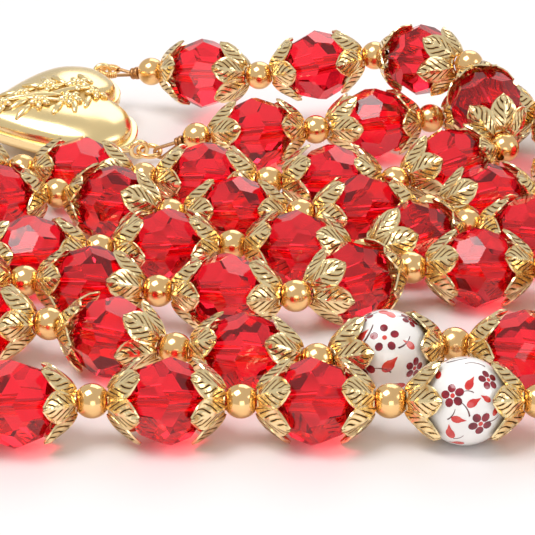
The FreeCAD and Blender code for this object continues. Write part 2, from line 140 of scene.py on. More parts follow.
# ---- node tree helper ----
class Tree:
    """A material's node tree, written as a chain of short calls."""

    def __init__(self, name: str) -> None:
        """Start an empty material with one Principled surface.

        Args:
            name: The material's name.
        """
        self.material = bpy.data.materials.new(name)
        self.material.use_nodes = True
        self.nodes = self.material.node_tree.nodes
        self.links = self.material.node_tree.links
        self.surface = self.nodes["Principled BSDF"]

    def set(self, **values: float | tuple) -> None:
        """Set constant values on the surface's own sockets.

        Args:
            values: The values by socket name, underscores standing for spaces.
        """
        for name, value in values.items():
            self.surface.inputs[name.replace("_", " ")].default_value = value

    def add(self, kind: str, *inputs, **settings):
        """Add a node, feed its inputs in order, and return it.

        Args:
            kind: The node's type name without the ShaderNode prefix.
            inputs: Sockets or constants for the inputs, None to leave one alone.
            settings: Attributes of the node.

        Returns:
            The new node.
        """
        node = self.nodes.new("ShaderNode" + kind)
        for name, value in settings.items():
            setattr(node, name, value)
        for index, value in enumerate(inputs):
            if value is None:
                continue
            if isinstance(value, bpy.types.NodeSocket):
                self.links.new(value, node.inputs[index])
            else:
                node.inputs[index].default_value = value
        return node

    def math(self, operation: str, *inputs):
        """Return the result socket of a Math node.

        Args:
            operation: The node's operation.
            inputs: Sockets or constants.
        """
        return self.add("Math", *inputs, operation=operation).outputs[0]

    def noise(self, scale: float, detail: float):
        """Return a noise socket over the piece's own coordinates.

        Args:
            scale: Waves per metre.
            detail: Octaves of finer noise.
        """
        place = self.add("TexCoord").outputs["Object"]
        return self.add("TexNoise", place, None, scale, detail).outputs[0]

    def blend(self, factor, first: tuple, second: tuple):
        """Return the colour socket of two colours mixed by a factor.

        Args:
            factor: Socket or constant, 0 for the first colour.
            first: The colour at 0.
            second: The colour at 1.
        """
        node = self.add("Mix", data_type="RGBA")
        self.feed(node.inputs[0], factor)
        self.feed(node.inputs[6], first)
        self.feed(node.inputs[7], second)
        return node.outputs[2]

    def ramp(self, value, low: float, high: float, start: float = 0.0, end: float = 1.0):
        """Return a value mapped smoothly from one range to another.

        Args:
            value: The socket to map.
            low: Where the mapping begins.
            high: Where it ends.
            start: The result at the beginning.
            end: The result at the end.
        """
        node = self.add("MapRange", value, low, high, start, end,
                        interpolation_type="SMOOTHSTEP")
        return node.outputs[0]

    def feed(self, socket, value) -> None:
        """Link a socket or set a constant.

        Args:
            socket: The input to feed.
            value: A socket or a constant.
        """
        if isinstance(value, bpy.types.NodeSocket):
            self.links.new(value, socket)
        else:
            socket.default_value = value

    def use(self, name: str, value) -> None:
        """Feed one of the surface's inputs.

        Args:
            name: The input's name.
            value: A socket or a constant.
        """
        self.feed(self.surface.inputs[name], value)

    def bump(self, height, distance: float, strength: float = 1.0) -> None:
        """Give the surface a relief.

        Args:
            height: The socket of the relief, 0 to 1.
            distance: How deep it is, in metres.
            strength: How strongly it shows.
        """
        node = self.add("Bump", strength, distance, None, None)
        self.feed(node.inputs["Height"], height)
        self.links.new(node.outputs[0], self.surface.inputs["Normal"])


# ---- finishes ----
@dataclass(frozen=True)
class CutGlass:
    """Transparent red cut glass that throws a red-tinted shadow."""

    colour: tuple = (0.97, 0.016, 0.038, 1.0)
    shade: tuple = (1.0, 0.36, 0.39, 1.0)
    index: float = 1.52
    roughness: float = 0.01
    clearness: float = 0.94

    def make(self) -> bpy.types.Material:
        """Build the material."""
        tree = Tree("red_cut_glass")
        tree.set(Roughness=self.roughness, IOR=self.index, Transmission_Weight=self.clearness)
        tree.set(Base_Color=self.colour)
        rays = tree.add("LightPath")
        clear = tree.add("BsdfTransparent", self.shade)
        either = tree.add("MixShader", rays.outputs["Is Shadow Ray"])
        tree.links.new(tree.surface.outputs[0], either.inputs[1])
        tree.links.new(clear.outputs[0], either.inputs[2])
        tree.links.new(either.outputs[0], tree.nodes["Material Output"].inputs[0])
        return tree.material


@dataclass(frozen=True)
class PolishedGold:
    """Bright gold plate with faint polishing marks."""

    name: str = "polished_gold"
    colour: tuple = (1.0, 0.69, 0.32, 1.0)
    worn: tuple = (0.95, 0.58, 0.24, 1.0)
    roughness: float = 0.12
    wear_scale: float = 160.0
    mark_scale: float = 900.0
    mark_depth: float = 0.00001

    def make(self) -> bpy.types.Material:
        """Build the material."""
        tree = Tree(self.name)
        tree.set(Metallic=1.0)
        cloud = tree.noise(self.wear_scale, 3.0)
        tree.use("Base Color", tree.blend(cloud, self.colour, self.worn))
        tree.use("Roughness", tree.ramp(cloud, 0.3, 0.75, self.roughness, self.roughness + 0.1))
        tree.bump(tree.noise(self.mark_scale, 2.0), self.mark_depth, 0.25)
        return tree.material


@dataclass(frozen=True)
class LeafGold:
    """Antique gold of the leaf caps: bright rims and ribs, dark slanting veins."""

    bright: tuple = (1.0, 0.82, 0.46, 1.0)
    amber: tuple = (0.78, 0.46, 0.16, 1.0)
    dark: tuple = (0.035, 0.012, 0.004, 1.0)
    veins: float = 5.2
    slant: float = 2.3
    waver: float = 0.55
    cloud_scale: float = 600.0
    pucker: float = 1.4
    depth: float = 0.00014

    def make(self) -> bpy.types.Material:
        """Build the material from the leaf's own map: across in U, along in V."""
        tree = Tree("antique_leaf_gold")
        tree.set(Metallic=1.0)
        split = tree.add("SeparateXYZ", tree.add("UVMap").outputs[0])
        across = tree.math("ABSOLUTE", tree.math("MULTIPLY_ADD", split.outputs[0], 2.0, -1.0))
        along = tree.math("MULTIPLY", split.outputs[1], self.veins)
        cloud = tree.noise(self.cloud_scale, 3.0)
        slanted = tree.math("MULTIPLY_ADD", across, -self.slant, along)
        slanted = tree.math("MULTIPLY_ADD", cloud, self.waver, slanted)
        wave = tree.math("PINGPONG", slanted, 0.5)
        narrow = tree.math("MULTIPLY_ADD", across, -0.10, 0.19)
        groove = tree.add("MapRange", wave, tree.math("MULTIPLY", narrow, 0.35), narrow,
                          1.0, 0.0, interpolation_type="SMOOTHSTEP").outputs[0]
        off_rib = tree.ramp(across, 0.05, 0.16)
        off_rim = tree.ramp(across, 0.84, 0.68)
        blade = tree.math("MULTIPLY", off_rib, off_rim)
        groove = tree.math("MULTIPLY", groove, blade)
        hollow = tree.math("MULTIPLY", tree.ramp(wave, 0.42, 0.12), blade)
        root = tree.ramp(split.outputs[1], 0.30, 0.02)
        aged = tree.math("MAXIMUM", tree.math("MULTIPLY", hollow, 0.75), root)
        aged = tree.math("MAXIMUM", aged, tree.ramp(cloud, 0.50, 0.75))
        worn = tree.blend(aged, self.bright, self.amber)
        tree.use("Base Color", tree.blend(groove, worn, self.dark))
        tree.use("Roughness", tree.ramp(groove, 0.0, 1.0, 0.17, 0.6))
        raised = tree.math("SUBTRACT", 1.0, groove)
        tree.bump(tree.math("MULTIPLY_ADD", cloud, self.pucker, raised), self.depth, 0.9)
        return tree.material


@dataclass(frozen=True)
class CastGold:
    """Antique cast gold of the cross: rubbed bright, clouded brown at random, with a fine grain."""

    rubbed: tuple = (0.98, 0.70, 0.34, 1.0)
    brown: tuple = (0.42, 0.20, 0.06, 1.0)
    cloud_scale: float = 260.0
    grain_scale: float = 1400.0
    grain_depth: float = 0.00004

    def make(self) -> bpy.types.Material:
        """Build the material."""
        tree = Tree("antique_cast_gold")
        tree.set(Metallic=1.0)
        aged = tree.ramp(tree.noise(self.cloud_scale, 5.0), 0.46, 0.66)
        tree.use("Base Color", tree.blend(aged, self.rubbed, self.brown))
        tree.use("Roughness", tree.ramp(aged, 0.0, 1.0, 0.22, 0.5))
        tree.bump(tree.noise(self.grain_scale, 3.0), self.grain_depth, 0.5)
        return tree.material


@dataclass(frozen=True)
class Glaze:
    """White glazed porcelain with a faint unevenness."""

    colour: tuple = (0.94, 0.925, 0.91, 1.0)
    warm_share: tuple = (0.97, 0.97, 0.94, 1.0)
    cloud_scale: float = 220.0
    depth: float = 0.00002

    def make(self) -> bpy.types.Material:
        """Build the material."""
        tree = Tree("white_glaze")
        tree.set(Roughness=0.12, IOR=1.5, Coat_Weight=0.5, Coat_Roughness=0.05)
        cloud = tree.noise(self.cloud_scale, 3.0)
        warm = tuple(part * share for part, share in zip(self.colour, self.warm_share))
        tree.use("Base Color", tree.blend(cloud, self.colour, warm))
        tree.bump(cloud, self.depth, 0.3)
        return tree.material


@dataclass(frozen=True)
class PaintedGlaze:
    """A colour brushed on the porcelain under its glaze."""

    name: str
    colour: tuple
    thin: tuple
    brush_scale: float = 900.0

    def make(self) -> bpy.types.Material:
        """Build the material."""
        tree = Tree(self.name)
        tree.set(Roughness=0.15, IOR=1.5, Coat_Weight=0.5, Coat_Roughness=0.05)
        strokes = tree.ramp(tree.noise(self.brush_scale, 2.0), 0.35, 0.65)
        tree.use("Base Color", tree.blend(strokes, self.colour, self.thin))
        return tree.material


@dataclass(frozen=True)
class StrandWire:
    """Fine twisted beading wire, gold coloured, with painted shade in the grooves of its twist."""

    colour: tuple = (0.72, 0.42, 0.20, 1.0)
    twist_scale: float = 2600.0
    depth: float = 0.00005

    def make(self) -> bpy.types.Material:
        """Build the material."""
        tree = Tree("strand_wire")
        tree.set(Metallic=1.0, Roughness=0.3)
        place = tree.add("TexCoord").outputs["Object"]
        twist = tree.add("TexWave", place, self.twist_scale, 2.0, 2.0,
                         bands_direction="DIAGONAL")
        # Painted shade: the twist's grooves take a copy of the wire colour darkened to half.
        dark = tuple(part * 0.5 for part in self.colour[:3]) + (1.0,)
        tree.use("Base Color", tree.blend(twist.outputs[1], dark, self.colour))
        tree.bump(twist.outputs[1], self.depth, 0.6)
        return tree.material


# ---- mesh tools ----
def clear_selection() -> None:
    """Deselect every object."""
    bpy.ops.object.select_all(action="DESELECT")


def activate(piece: bpy.types.Object) -> None:
    """Make a piece the only selected and active object.

    Args:
        piece: The object.
    """
    clear_selection()
    piece.select_set(True)
    bpy.context.view_layer.objects.active = piece


def pick(piece: bpy.types.Object, indices: Iterable[int]) -> None:
    """Enter edit mode with only the given vertices selected.

    Args:
        piece: The mesh object.
        indices: The vertices to select.
    """
    activate(piece)
    bpy.ops.object.mode_set(mode="EDIT")
    bpy.ops.mesh.select_mode(type="VERT")
    bpy.ops.mesh.select_all(action="DESELECT")
    bpy.ops.object.mode_set(mode="OBJECT")
    for index in indices:
        piece.data.vertices[index].select = True
    bpy.ops.object.mode_set(mode="EDIT")


def leave_edit() -> None:
    """Go back to object mode."""
    bpy.ops.object.mode_set(mode="OBJECT")


def leave_outwards() -> None:
    """Turn every normal of the edited piece outwards and go back to object mode."""
    bpy.ops.mesh.select_all(action="SELECT")
    bpy.ops.mesh.normals_make_consistent(inside=False)
    leave_edit()


def where(piece: bpy.types.Object, test: Callable[[Vector], bool]) -> list[int]:
    """Find vertices by their place.

    Args:
        piece: The mesh object.
        test: What a vertex's place has to pass.

    Returns:
        The vertices that pass.
    """
    return [v.index for v in piece.data.vertices if test(v.co)]


def everything(piece: bpy.types.Object) -> range:
    """Return all the vertices of a piece."""
    return range(len(piece.data.vertices))


def shift(piece: bpy.types.Object, indices: Iterable[int], way: tuple) -> None:
    """Move some vertices of a piece.

    Args:
        piece: The mesh object.
        indices: The vertices to move.
        way: How far they go.
    """
    pick(piece, indices)
    bpy.ops.transform.translate(value=way)
    leave_edit()


def stretch(piece: bpy.types.Object, indices: Iterable[int], factors: tuple) -> None:
    """Scale some vertices of a piece about the origin.

    Args:
        piece: The mesh object.
        indices: The vertices to scale.
        factors: The scale along X, Y and Z.
    """
    pick(piece, indices)
    bpy.ops.transform.resize(value=factors, center_override=(0, 0, 0))
    leave_edit()


def fix_placement() -> bpy.types.Object:
    """Put the active object's placement into its mesh and return it."""
    bpy.ops.object.transform_apply(location=True, rotation=True, scale=True)
    return bpy.context.object


def smooth(piece: bpy.types.Object, degrees: float | None = None) -> None:
    """Shade a piece smoothly.

    Args:
        piece: The mesh object.
        degrees: Edges sharper than this stay sharp; None keeps none.
    """
    activate(piece)
    if degrees is None:
        bpy.ops.object.shade_smooth()
    else:
        bpy.ops.object.shade_smooth_by_angle(angle=math.radians(degrees))


def apply_modifier(piece: bpy.types.Object, kind: str, **settings) -> None:
    """Add a modifier, set it up and apply it.

    Args:
        piece: The mesh object.
        kind: The modifier's type.
        settings: Its settings.
    """
    activate(piece)
    modifier = piece.modifiers.new(kind.lower(), kind)
    for name, value in settings.items():
        setattr(modifier, name, value)
    bpy.ops.object.modifier_apply(modifier=modifier.name)


def copy_to(piece: bpy.types.Object, place: Matrix) -> bpy.types.Object:
    """Copy a piece, moving the copy by its vertices.

    Args:
        piece: The mesh object to copy.
        place: Where the copy goes.

    Returns:
        The copy, with its own mesh.
    """
    twin = piece.copy()
    twin.data = piece.data.copy()
    bpy.context.collection.objects.link(twin)
    twin.data.transform(place)
    return twin


def join(pieces: list[bpy.types.Object], name: str) -> bpy.types.Object:
    """Join pieces into one named object.

    Args:
        pieces: The mesh objects.
        name: The name of the result.

    Returns:
        The joined object.
    """
    clear_selection()
    for piece in pieces:
        piece.select_set(True)
    bpy.context.view_layer.objects.active = pieces[0]
    if len(pieces) > 1:
        bpy.ops.object.join()
    pieces[0].name = name
    pieces[0].data.name = name
    return pieces[0]


def dress(piece: bpy.types.Object, material: bpy.types.Material) -> None:
    """Give a piece one material."""
    piece.data.materials.clear()
    piece.data.materials.append(material)


def discard(piece: bpy.types.Object) -> None:
    """Remove a pattern piece after it was copied."""
    bpy.data.objects.remove(piece, do_unlink=True)


def in_metres(place: Matrix) -> Matrix:
    """Return a millimetre placement as one that also scales millimetres to metres."""
    return Matrix.Scale(MM, 4) @ place


def face_frame(across: Vector, along: Vector, out: Vector) -> Matrix:
    """Return the turn that carries X, Y and Z to three square directions."""
    return Matrix((across, along, out)).transposed().to_4x4()


def hand_in(piece: bpy.types.Object, body: str, slot: str, *nodes: str) -> None:
    """Let a piece stand for its CAD nodes and ride on its body.

    Args:
        piece: The visible piece.
        body: The body it rides on.
        slot: Its material slot; not used.
        nodes: The CAD nodes it replaces.
    """
    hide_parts(*nodes)
    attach(piece, body)
    LOG.info("%s: %d faces", piece.name, len(piece.data.polygons))


def string_up(pattern: bpy.types.Object, places: list[Matrix], node: str, ending: str,
              body: str, slot: str) -> None:
    """Set copies of a pattern along a strand and hand them in as one piece.

    Args:
        pattern: The model to copy.
        places: Its placements, in millimetres.
        node: The CAD node the piece stands for.
        ending: What the piece's name has after the node's name.
        body: The body it rides on.
        slot: Its material slot.
    """
    copies = [copy_to(pattern, in_metres(place)) for place in places]
    hand_in(join(copies, node + ending), body, slot, node)


# ---- leaf caps ----
@dataclass
class LeafCap:
    """One bead cap of six veined leaves on a small base ring, in millimetres."""

    leaves: int = 6
    across: int = 6
    along: int = 9
    half_widths: tuple = (0.85, 1.15, 1.45, 1.68, 1.84, 1.90, 1.86, 1.66, 1.22, 0.30)
    root: Vector = field(default_factory=lambda: Vector((6.35, 0.0, 1.35)))
    knee: Vector = field(default_factory=lambda: Vector((5.55, 0.0, 3.30)))
    tip: Vector = field(default_factory=lambda: Vector((2.80, 0.0, 4.42)))
    flare: float = 0.26
    curl_start: float = 0.6
    column_relief: tuple = (0.16, -0.05, 0.0, 0.24)
    thickness: float = 0.22
    ring_radius: float = 1.32
    ring_tube: float = 0.30

    def spine(self, share: float) -> tuple[Vector, float]:
        """Return a point of the leaf's middle line and its slope angle.

        Args:
            share: How far along the leaf, from 0 at the root to 1 at the tip.

        Returns:
            The point and the angle in the X-Z plane.
        """
        left = 1 - share
        point = self.root * left ** 2 + self.knee * (2 * left * share) + self.tip * share ** 2
        way = (self.knee - self.root) * left + (self.tip - self.knee) * share
        return point, math.atan2(way.z, way.x)

    def leaf(self) -> bpy.types.Object:
        """Model one leaf pointing up from the bead's axis."""
        clear_selection()
        bpy.ops.mesh.primitive_grid_add(x_subdivisions=self.across, y_subdivisions=self.along,
                                        size=2)
        leaf = bpy.context.object
        rows = [where(leaf, lambda co, y=y: abs(co.y - y) < 0.01)
                for y in (2 * i / self.along - 1 for i in range(self.along + 1))]
        for step, lift in enumerate(self.column_relief):
            edge = 1 - step * 2 / self.across
            column = where(leaf, lambda co, e=edge: abs(abs(co.x) - e) < 0.01)
            shift(leaf, column, (0, 0, lift))
        for index, row in enumerate(rows):
            self.lay_row(leaf, row, index)
        apply_modifier(leaf, "SOLIDIFY", thickness=self.thickness, offset=-1.0)
        return leaf

    def lay_row(self, leaf: bpy.types.Object, row: list[int], index: int) -> None:
        """Widen one row of a leaf and set it on the leaf's curve.

        Args:
            leaf: The flat leaf.
            row: The row's vertices.
            index: The row's number from the root.
        """
        share = index / self.along
        point, slope = self.spine(share)
        curled = max(0.0, share - self.curl_start) / (1 - self.curl_start)
        point += Vector((0, 0, self.flare * curled ** 2))
        half = self.half_widths[index]
        shift(leaf, row, (0, 1 - 2 * share, 0))
        stretch(leaf, row, (half, 1, min(1.0, half)))
        for vertex in row:
            place = leaf.data.vertices[vertex].co
            drop = place.x ** 2 / (2 * point.z)
            rise = place.z - drop
            leaf.data.vertices[vertex].co = Vector((
                point.x + rise * math.sin(slope), -place.x, point.z - rise * math.cos(slope)))

    def ring(self) -> bpy.types.Object:
        """Model the base ring that the spacer rests on."""
        clear_selection()
        bpy.ops.mesh.primitive_torus_add(major_radius=self.ring_radius,
                                         minor_radius=self.ring_tube, major_segments=18,
                                         minor_segments=6, rotation=(0, math.pi / 2, 0),
                                         location=(CAP_REACH - self.ring_tube, 0, 0))
        return fix_placement()

    def model(self) -> bpy.types.Object:
        """Model the whole cap on the +X side of a bead at the origin."""
        pattern = self.leaf()
        parts = [self.ring()]
        for index in range(self.leaves):
            turn = Matrix.Rotation(math.tau * index / self.leaves, 4, "X")
            parts.append(copy_to(pattern, turn))
        discard(pattern)
        cap = join(parts, "leaf_cap_pattern")
        activate(cap)
        bpy.ops.object.mode_set(mode="EDIT")
        leave_outwards()
        smooth(cap, 50)
        return cap


@dataclass
class CapSets:
    """All leaf caps, one joined piece per CAD node."""

    material: bpy.types.Material
    roll_step: int = 17

    def build(self) -> None:
        """Model the cap once and set copies on every bead."""
        pattern = LeafCap().model()
        dress(pattern, self.material)
        beads = LOOP_ROUTE.beads()
        for decade in DECADES:
            self.set_on(pattern, beads, decade_units(decade), f"leaf_caps_decade_{decade}",
                        "strand_loop")
        self.set_on(pattern, beads, PORCELAIN_UNITS, "porcelain_leaf_caps", "strand_loop")
        self.set_on(pattern, drop_route().beads(), range(5), "drop_leaf_caps", "drop")
        discard(pattern)

    def set_on(self, pattern: bpy.types.Object, beads: list[Matrix], chosen: Iterable[int],
               node: str, body: str) -> None:
        """Set both caps on the chosen beads and join them into one piece.

        Args:
            pattern: The cap model.
            beads: The placement of every bead.
            chosen: Which beads get caps.
            node: The CAD node the piece stands for.
            body: The body it rides on.
        """
        places = []
        for index in chosen:
            roll = Matrix.Rotation(math.radians((index * self.roll_step) % 60), 4, "X")
            places += [beads[index] @ roll @ Matrix.Rotation(side, 4, "Z")
                       for side in (0, math.pi)]
        string_up(pattern, places, node, "_leaves", body, "antique_gold")


# ---- cut crystals ----
@dataclass
class CutCrystal:
    """One glass bead cut with four rows of facets around its hole, in millimetres."""

    facets: int = 8
    radius: float = 4.98
    half_length: float = 4.38
    rows: tuple = ((21.0, 1.0), (57.0, 0.995))
    reach: float = 4.6
    blank_radius: float = 7.0
    bore: float = 0.6

    def model(self) -> bpy.types.Object:
        """Cut the bead about the origin with its hole along X."""
        clear_selection()
        bpy.ops.mesh.primitive_cylinder_add(vertices=48, radius=self.blank_radius,
                                            depth=2 * self.half_length,
                                            rotation=(0, math.pi / 2, 0))
        bead = fix_placement()
        activate(bead)
        bpy.ops.object.mode_set(mode="EDIT")
        for side in (-1, 1):
            for row, (latitude, reach) in enumerate(self.rows):
                shift = 0.5 * ((row + (side > 0)) % 2)
                for step in range(self.facets):
                    self.cut(side * latitude, 360 * (step + shift) / self.facets, reach)
        leave_edit()
        scale = self.radius / max(math.hypot(v.co.y, v.co.z) for v in bead.data.vertices)
        stretch(bead, everything(bead), (1, scale, scale))
        self.drill(bead)
        return bead

    def cut(self, latitude: float, azimuth: float, reach: float) -> None:
        """Slice one facet off and close it.

        Args:
            latitude: The facet's tilt from square to the hole, in degrees.
            azimuth: Its turn around the hole, in degrees.
            reach: Its distance from the bead's centre, as a share of the common reach.
        """
        low, turn = math.radians(latitude), math.radians(azimuth)
        out = Vector((math.sin(low), math.cos(low) * math.cos(turn),
                      math.cos(low) * math.sin(turn)))
        bpy.ops.mesh.select_all(action="SELECT")
        bpy.ops.mesh.bisect(plane_co=out * reach * self.reach, plane_no=out,
                            clear_outer=True, use_fill=True)

    def drill(self, bead: bpy.types.Object) -> None:
        """Open the hole through both end faces.

        Args:
            bead: The cut bead.
        """
        activate(bead)
        bpy.ops.object.mode_set(mode="EDIT")
        bpy.ops.mesh.select_mode(type="FACE")
        bpy.ops.mesh.select_all(action="DESELECT")
        leave_edit()
        wall = 0.0
        for face in bead.data.polygons:
            if abs(face.normal.x) > 0.99:
                face.select = True
                corner = bead.data.vertices[face.vertices[0]].co
                wall = math.hypot(corner.y, corner.z) - self.bore
        bpy.ops.object.mode_set(mode="EDIT")
        bpy.ops.mesh.inset(thickness=wall * 0.9, use_individual=True)
        bpy.ops.mesh.bridge_edge_loops()
        bpy.ops.mesh.select_mode(type="VERT")
        leave_outwards()


@dataclass
class CrystalSets:
    """All cut crystals: single beads of the first decade and drop, and four joined decades."""

    glass: bpy.types.Material
    roll_step: int = 23
    first_roll: int = 6

    def build(self) -> None:
        """Cut one crystal and set copies on every bead."""
        pattern = CutCrystal().model()
        dress(pattern, self.glass)
        loop, drop = LOOP_ROUTE.beads(), drop_route().beads()
        for number in range(1, BEADS_IN_DECADE + 1):
            node = f"crystal_{number:02d}"
            self.set_on(pattern, loop, (number - 1,), node, node)
        for decade in DECADES[1:]:
            self.set_on(pattern, loop, decade_units(decade), f"crystals_decade_{decade}",
                        "strand_loop")
        for number in range(1, 4):
            node = f"drop_crystal_{number}"
            self.set_on(pattern, drop, (number,), node, node)
        discard(pattern)

    def set_on(self, pattern: bpy.types.Object, beads: list[Matrix], chosen: Iterable[int],
               node: str, body: str) -> None:
        """Set crystals on the chosen beads and join them into one piece.

        Args:
            pattern: The crystal model.
            beads: The placement of every bead.
            chosen: Which beads.
            node: The CAD node the piece stands for.
            body: The body it rides on.
        """
        places = []
        for index in chosen:
            roll = math.radians((index * self.roll_step) % 45 + self.first_roll)
            places.append(beads[index] @ Matrix.Rotation(roll, 4, "X"))
        string_up(pattern, places, node, "_cut", body, "red_crystal")


# ---- balls: spacers and porcelain ----
def drilled_ball(radius: float, bore: float, segments: int, rings: int) -> bpy.types.Object:
    """Model a ball about the origin with a straight hole along X.

    Args:
        radius: The ball's radius in millimetres.
        bore: The hole's radius.
        segments: Faces around the hole.
        rings: Faces from hole to hole.

    Returns:
        The ball, smooth and open at both ends of its hole.
    """
    clear_selection()
    bpy.ops.mesh.primitive_uv_sphere_add(segments=segments, ring_count=rings, radius=radius,
                                         rotation=(0, math.pi / 2, 0))
    ball = fix_placement()
    pick(ball, where(ball, lambda co: math.hypot(co.y, co.z) < bore * 0.98))
    bpy.ops.mesh.delete(type="VERT")
    leave_edit()
    mouth = min(math.hypot(v.co.y, v.co.z) for v in ball.data.vertices)
    pick(ball, where(ball, lambda co: math.hypot(co.y, co.z) < mouth + 0.01))
    deeper = math.sqrt((radius ** 2 - bore ** 2) / (radius ** 2 - mouth ** 2))
    bpy.ops.transform.resize(value=(deeper, bore / mouth, bore / mouth),
                             center_override=(0, 0, 0))
    bpy.ops.mesh.bridge_edge_loops()
    leave_outwards()
    smooth(ball, 40)
    return ball


@dataclass
class SpacerSets:
    """The plain polished balls between the beads, one joined piece per CAD node."""

    material: bpy.types.Material
    radius: float = SPACER_RADIUS
    bore: float = 0.7

    def build(self) -> None:
        """Model the ball once and set copies along both strands."""
        pattern = drilled_ball(self.radius, self.bore, 32, 22)
        dress(pattern, self.material)
        loop = LOOP_ROUTE.spacers()
        for decade in DECADES:
            first = decade_units(decade).start
            self.set_on(pattern, loop, range(first, first + BEADS_IN_DECADE + 1),
                        f"spacers_decade_{decade}", "strand_loop")
        self.set_on(pattern, drop_route().spacers(), range(6), "drop_spacers", "drop")
        discard(pattern)

    def set_on(self, pattern: bpy.types.Object, points: list[Vector], chosen: range,
               node: str, body: str) -> None:
        """Set the chosen balls along a strand and join them into one piece.

        Args:
            pattern: The ball.
            points: The spacer centres of the strand.
            chosen: Which of them.
            node: The CAD node the piece stands for.
            body: The body it rides on.
        """
        places = []
        for index in chosen:
            before = points[max(index - 1, 0)]
            after = points[min(index + 1, len(points) - 1)]
            turn = (after - before).to_track_quat("X", "Z").to_matrix().to_4x4()
            places.append(Matrix.Translation(points[index] + CENTRING) @ turn)
        string_up(pattern, places, node, "_balls", body, "bright_gold")


# ---- painted porcelain ----
PETALS = 5


class Motif(Enum):
    """The painted shapes on the porcelain."""

    BLOSSOM = "blossom"
    OPEN_BLOSSOM = "open blossom"
    LEAF = "leaf"
    STEM = "stem"


@dataclass(frozen=True)
class Mark:
    """One painted shape: where it sits on the bead's face, its turn in degrees and its size."""

    motif: Motif
    right: float
    up: float
    turn: float = 0.0
    size: float = 1.0


SPRAY_OF_BLOSSOMS = (
    Mark(Motif.BLOSSOM, -0.33, 0.16, 10, 1.05), Mark(Motif.BLOSSOM, 0.30, -0.47, 40, 1.1),
    Mark(Motif.BLOSSOM, 0.48, 0.50, 75, 0.95), Mark(Motif.LEAF, 0.04, 0.40, -30, 1.0),
    Mark(Motif.LEAF, 0.10, -0.01, -60, 1.0), Mark(Motif.LEAF, 0.44, 0.08, 60, 0.75),
    Mark(Motif.LEAF, -0.24, -0.37, -100, 0.95), Mark(Motif.LEAF, -0.36, -0.70, -10, 1.2),
    Mark(Motif.LEAF, -0.16, -0.92, 90, 1.0), Mark(Motif.LEAF, 0.63, -0.20, -20, 0.8),
    Mark(Motif.LEAF, -0.62, 0.60, 40, 0.9), Mark(Motif.STEM, -0.06, -0.14, 32, 1.0),
    Mark(Motif.STEM, -0.36, -0.26, -40, 0.8), Mark(Motif.STEM, -0.18, -0.78, -65, 0.7),
    Mark(Motif.STEM, 0.02, 0.24, 85, 0.6), Mark(Motif.STEM, 0.60, -0.36, -60, 0.7),
    Mark(Motif.STEM, 0.20, 0.84, 75, 1.2),
)
OPEN_SPRAY = (
    Mark(Motif.OPEN_BLOSSOM, -0.08, 0.36, 5, 1.1), Mark(Motif.BLOSSOM, -0.56, -0.30, 30, 1.15),
    Mark(Motif.BLOSSOM, -0.52, 0.80, 10, 0.9), Mark(Motif.BLOSSOM, 0.62, -0.35, 0, 1.0),
    Mark(Motif.LEAF, -0.62, 0.36, -35, 1.1), Mark(Motif.LEAF, 0.0, -0.30, -45, 1.35),
    Mark(Motif.LEAF, 0.52, 0.18, 55, 0.95), Mark(Motif.LEAF, 0.08, 0.88, 25, 1.1),
    Mark(Motif.LEAF, 0.30, -0.75, 80, 1.0), Mark(Motif.STEM, -0.50, 0.42, -20, 1.5),
    Mark(Motif.STEM, 0.38, 0.26, -50, 1.1), Mark(Motif.STEM, -0.12, -0.40, 75, 1.0),
    Mark(Motif.STEM, 0.40, 0.80, 60, 1.0),
)


